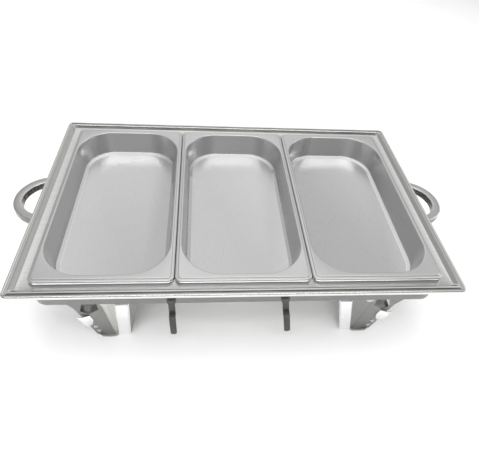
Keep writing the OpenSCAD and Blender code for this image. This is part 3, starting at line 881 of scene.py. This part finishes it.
# legs and panels: one leg of each end is shaped, and its mirror image stands at the back
ends = ((-1, "+x"), (1, "-x"))
sides = ((-1, "+y"), (1, "-y"))
pivot = (leg["pivotX"] * mm, 0, leg["pivotZ"] * mm)
panelMaster = makeCrossPanel()
for end, sign, lead in (("left", -1, 14), ("right", 1, 0)):
    plate, flange, tab = makeLeg(end, lead)
    seat = Matrix.Translation((sign * pivot[0], 0, pivot[2])) @ Matrix.Diagonal((-sign, 1, 1, 1))
    turn = Matrix.Diagonal((1, -1, 1, 1))
    front = joinPieces([plate, flange], end + "_leg")
    smoothByAngle(front, 30)
    smoothByAngle(tab, 30)
    frontLeg = placedCopy(front, end + "_front_plate", seat)
    backLeg = placedCopy(front, end + "_back_plate", turn @ seat)
    standFor(frontLeg, end + "_front_leg")
    standFor(backLeg, end + "_back_leg")
    tabs = joinPieces([placedCopy(tab, "frontTab", seat), placedCopy(tab, "backTab", turn @ seat)],
                      end + "_tabs")
    # the tabs take the leg's brightest tone, a painted reflection
    standFor(tabs, end + "_leg_tabs", [steels["legRib"]])
    discard(front)
    discard(tab)
    # the cross panel takes the leg's middle tone, a painted reflection
    standFor(placedCopy(panelMaster, end + "_panel", seat), end + "_cross_panel",
             [steels["legFacet"]])
    rivetRow(end + "_leg_rivets", "bracket",
             [(sign * (leg["pivotX"] + out), side * rivetPlaces["legY"], z, way)
              for out, z in rivetPlaces["leg"] for side, way in sides])
discard(panelMaster)
print("legs made")

strip = makeHook()
# the hooks' near-black steel is painted shade
for end, lean in (("left", 0), ("right", -hook["lean"])):
    seat = (Matrix.Translation((hook[end] * mm, 0, hook["pinZ"] * mm))
            @ Matrix.Rotation(math.radians(lean), 4, "Y") @ Matrix.Translation((0, 0, -hook["pinZ"] * mm)))
    standFor(placedCopy(strip, end + "_strip", seat), end + "_hook", [steels["hookShade"]])
discard(strip)
print("hooks made")

cupMaster = makeFuelCup()
coverMaster = makeFuelCover()
for end, sign in (("left", -1), ("right", 1)):
    seat = Matrix.Translation((sign * fuelHolder["x"] * mm, 0, 0)) @ Matrix.Diagonal((-sign, 1, 1, 1))
    standFor(placedCopy(cupMaster, end + "_cup", seat), end + "_fuel_cup",
             [steels["spunSteel"]])
    standFor(placedCopy(coverMaster, end + "_lid", seat), end + "_fuel_cover",
             [steels["spunSteel"]])
    pinX = sign * (fuelHolder["x"] - fuelHolder["armX"])
    rivetRow(end + "_cover_pin", "cover", [(pinX, 0, fuelHolder["pinZ"], "-z")])
discard(cupMaster)
discard(coverMaster)
print("fuel holders made")

at = rivetPlaces
rivetRow("corner_rivets", "corner",
         [(sign * at["cornerX"], side * at["cornerY"], z, way) for sign, way in ends
          for side in (-1, 1) for z in at["cornerZ"]])
rivetRow("handle_rivets", "handle",
         [(sign * at["handleX"], y, at["handleZ"], way) for sign, way in ends
          for y in at["handleY"]])
rivetRow("bracket_rivets", "bracket",
         [(sign * x, side * at["bracketY"], at["bracketZ"], way) for side, way in sides
          for sign in (-1, 1) for x in at["bracketX"]])
rivetRow("pivot_pins", "pivot",
         [(sign * leg["pivotX"], side * at["pivotY"], leg["pivotZ"], way) for side, way in sides
          for sign in (-1, 1)])
# the hook pins take the hooks' painted shade
rivetRow("hook_pins", "hook",
         [(x, hook["pinY"], hook["pinZ"], "+y") for x in (hook["left"], hook["right"])],
         "hookShade")
print("rivets made")


# rails and brackets keep their shape and get a dull mill steel, darkened further as painted shade
for part in frame["record"]["subparts"]:
    if part["node"].endswith(("_rail", "_bracket")):
        dressed = frame["nodes"][part["node"]]
        dressed.data.materials.clear()
        dressed.data.materials.append(steels["railMillAndShade"])
print("rails dressed")


# floor, light and camera
def paleFloor():
    deselectAll()
    bpy.ops.mesh.primitive_plane_add(size=12, location=(0, 0, -0.0006))
    floor = bpy.context.object
    floor.name = "floor"
    material = bpy.data.materials.new("paleFloor")
    material.use_nodes = True
    tree = material.node_tree
    shader = tree.nodes["Principled BSDF"]
    shader.inputs["Roughness"].default_value = 0.9
    cloud = addNode(tree, "ShaderNodeTexNoise", (-600, 0))
    cloud.inputs["Scale"].default_value = 2
    tone = addNode(tree, "ShaderNodeMix", (-300, 0), data_type="RGBA")
    tone.inputs["A"].default_value = (0.93, 0.93, 0.93, 1)
    tone.inputs["B"].default_value = (0.95, 0.95, 0.95, 1)
    tree.links.new(cloud.outputs["Fac"], tone.inputs["Factor"])
    tree.links.new(tone.outputs["Result"], shader.inputs["Base Color"])
    floor.data.materials.append(material)


def softbox(name, place, aim, size, power, mirrored=True):
    light = bpy.data.lights.new(name, "AREA")
    light.shape = "RECTANGLE"
    light.size = size[0]
    light.size_y = size[1]
    light.energy = power
    holder = bpy.data.objects.new(name, light)
    bpy.context.collection.objects.link(holder)
    holder.location = place
    holder.visible_glossy = mirrored
    holder.rotation_euler = (Vector(aim) - Vector(place)).to_track_quat("-Z", "Y").to_euler()


view = {"azimuth": -8.05, "elevation": 47.3, "roll": 5.97, "distance": 0.547,
        "aim": (-0.0022, -0.0825, 0.140), "lens": 29.7}


def placeCamera():
    azimuth = math.radians(view["azimuth"])
    elevation = math.radians(view["elevation"])
    roll = math.radians(view["roll"])
    back = Vector((math.sin(azimuth) * math.cos(elevation), -math.cos(azimuth) * math.cos(elevation),
                   math.sin(elevation)))
    right = Vector((math.cos(azimuth), math.sin(azimuth), 0))
    up = back.cross(right)
    rolledRight = right * math.cos(roll) + up * math.sin(roll)
    rolledUp = up * math.cos(roll) - right * math.sin(roll)
    data = bpy.data.cameras.new("studioCamera")
    data.sensor_width = 36
    data.lens = view["lens"]
    data.clip_start = 0.01
    camera = bpy.data.objects.new("studioCamera", data)
    bpy.context.collection.objects.link(camera)
    turn = Matrix((rolledRight, rolledUp, back)).transposed().to_4x4()
    camera.matrix_world = Matrix.Translation(Vector(view["aim"]) + back * view["distance"]) @ turn
    bpy.context.scene.camera = camera


def skyRamp(tree, place, stops):
    ramp = addNode(tree, "ShaderNodeValToRGB", place)
    colours = ramp.color_ramp
    for index, (position, level) in enumerate(stops):
        if index < 2:
            stop = colours.elements[index]
            stop.position = position
        else:
            stop = colours.elements.new(position)
        stop.color = (level, level, level, 1)
    return ramp


def studioWorld():
    world = bpy.data.worlds.new("studio")
    bpy.context.scene.world = world
    world.use_nodes = True
    tree = world.node_tree
    tree.nodes.clear()
    output = addNode(tree, "ShaderNodeOutputWorld", (800, 0))
    glow = addNode(tree, "ShaderNodeBackground", (500, 0))
    place = addNode(tree, "ShaderNodeTexCoord", (-400, 0))
    split = addNode(tree, "ShaderNodeSeparateXYZ", (-200, 0))
    # brightness by height, duller to both sides and lower behind the camera
    ramps = {
        "Z": ((0.0, 0.80), (0.30, 0.66), (0.50, 0.66), (0.70, 0.80), (0.82, 0.92), (0.91, 0.97), (1.0, 0.84)),
        "X": ((0.0, 0.60), (0.21, 0.52), (0.33, 0.75), (0.45, 1.0), (0.58, 1.0), (0.68, 0.80), (0.80, 0.70),
              (1.0, 0.80)),
        "Y": ((0.0, 0.62), (0.25, 0.66), (0.45, 0.95), (1.0, 1.0)),
    }
    tree.links.new(place.outputs["Generated"], split.inputs[0])
    shade = None
    for row, (axis, stops) in enumerate(ramps.items()):
        ramp = skyRamp(tree, (100, -300 * row), stops)
        level = split.outputs[axis]
        if axis != "Z":
            half = addNode(tree, "ShaderNodeMath", (-100, -300 * row), operation="MULTIPLY_ADD")
            half.inputs[1].default_value = 0.5
            half.inputs[2].default_value = 0.5
            tree.links.new(level, half.inputs[0])
            level = half.outputs[0]
        tree.links.new(level, ramp.inputs["Fac"])
        if shade is None:
            shade = ramp.outputs["Color"]
            continue
        both = addNode(tree, "ShaderNodeMix", (350, -300 * row), data_type="RGBA", blend_type="MULTIPLY")
        both.inputs["Factor"].default_value = 1.0
        tree.links.new(shade, both.inputs["A"])
        tree.links.new(ramp.outputs["Color"], both.inputs["B"])
        shade = both.outputs["Result"]
    tree.links.new(shade, glow.inputs["Color"])
    tree.links.new(glow.outputs[0], output.inputs[0])


paleFloor()
studioWorld()
softbox("topBox", (0, -0.1, 1.9), (0, 0, 0.1), (1.0, 1.0), 12, mirrored=False)
softbox("glintBox", (0, -0.75, 1.75), (0, 0, 0.13), (2.4, 0.25), 7)
softbox("frontBox", (-0.4, -1.5, 0.55), (0, 0.05, 0.02), (2.4, 0.6), 26, mirrored=False)
softbox("backBox", (0.2, 1.6, 1.2), (0, 0, 0), (2.2, 0.7), 12, mirrored=False)
softbox("sideBox", (1.5, 0.2, 0.8), (0, 0, 0.1), (0.4, 1.2), 1.6)
placeCamera()
bpy.context.scene.view_settings.view_transform = "Standard"
print("studio ready")
